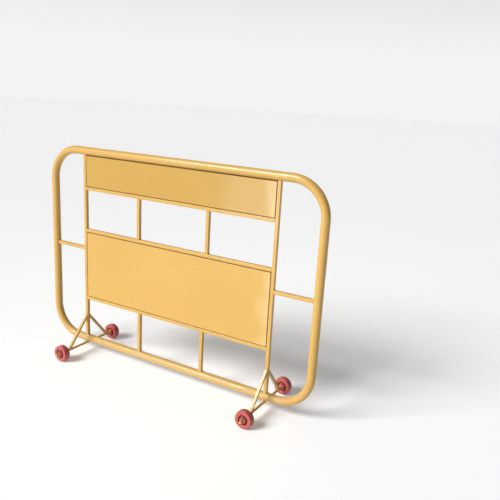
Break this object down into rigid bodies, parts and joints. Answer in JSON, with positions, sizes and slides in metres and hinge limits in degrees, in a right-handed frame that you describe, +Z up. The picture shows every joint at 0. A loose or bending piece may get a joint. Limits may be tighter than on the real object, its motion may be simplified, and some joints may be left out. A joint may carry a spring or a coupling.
{
  "type": "crowd control barrier",
  "caption": "Low steel crowd barrier: a bent round-tube loop with a square-tube grid, flat sheet panels and triangular feet on small wheels.",
  "frame": {"origin": "on the floor, under the middle of the barrier", "axes": "+X along the barrier to its right as seen from the front, +Y from its front to its back, +Z up"},
  "size_m": [1.5, 0.43, 1.046],
  "materials": {
    "loop_paint": "glossy golden-yellow powder coat with a faint orange-peel skin",
    "grid_paint": "golden-yellow powder coat on square tube",
    "panel_paint": "satin golden-yellow powder coat on folded sheet",
    "foot_paint": "golden-yellow powder coat, rubbed at the ends",
    "wheel_red": "dull red moulded plastic with a darker recess",
    "bush_plastic": "dark self-lubricating plastic",
    "zinc": "bright zinc-plated steel",
    "bare_steel": "plain mild steel"
  },
  "bodies": {
    "barrier_frame": {"frame_upper_bow": "loop_paint", "frame_lower_bow": "loop_paint", "frame_splice_sleeves": "bare_steel", "upper_panel_rail": "grid_paint", "lower_panel_top_rail": "grid_paint", "lower_panel_bottom_rail": "grid_paint", "upper_panel_pan": "panel_paint", "upper_panel_back": "panel_paint", "lower_panel_pan": "panel_paint", "lower_panel_back": "panel_paint", "upright_left": "grid_paint", "side_rail_left": "grid_paint", "window_bar_left": "grid_paint", "lower_bar_left": "grid_paint", "axle_rod_left": "foot_paint", "front_left_leg": "foot_paint", "front_left_washers": "wheel_red", "front_left_split_pin": "zinc", "rear_left_leg": "foot_paint", "rear_left_washers": "wheel_red", "rear_left_split_pin": "zinc", "upright_right": "grid_paint", "side_rail_right": "grid_paint", "window_bar_right": "grid_paint", "lower_bar_right": "grid_paint", "axle_rod_right": "foot_paint", "front_right_leg": "foot_paint", "front_right_washers": "wheel_red", "front_right_split_pin": "zinc", "rear_right_leg": "foot_paint", "rear_right_washers": "wheel_red", "rear_right_split_pin": "zinc"},
    "front_left_wheel_set": {"front_left_wheel": "wheel_red", "front_left_hub_bush": "bush_plastic"},
    "rear_left_wheel_set": {"rear_left_wheel": "wheel_red", "rear_left_hub_bush": "bush_plastic"},
    "front_right_wheel_set": {"front_right_wheel": "wheel_red", "front_right_hub_bush": "bush_plastic"},
    "rear_right_wheel_set": {"rear_right_wheel": "wheel_red", "rear_right_hub_bush": "bush_plastic"}
  },
  "joints": [
    {"name": "front_left_wheel_spin", "type": "hinge", "parent": "barrier_frame", "child": "front_left_wheel_set", "pos_m": [-0.525, -0.177, 0.04], "axis": [0, 1, 0], "continuous": true},
    {"name": "rear_left_wheel_spin", "type": "hinge", "parent": "barrier_frame", "child": "rear_left_wheel_set", "pos_m": [-0.525, 0.177, 0.04], "axis": [0, 1, 0], "continuous": true},
    {"name": "front_right_wheel_spin", "type": "hinge", "parent": "barrier_frame", "child": "front_right_wheel_set", "pos_m": [0.525, -0.177, 0.04], "axis": [0, 1, 0], "continuous": true},
    {"name": "rear_right_wheel_spin", "type": "hinge", "parent": "barrier_frame", "child": "rear_right_wheel_set", "pos_m": [0.525, 0.177, 0.04], "axis": [0, 1, 0], "continuous": true}
  ]
}
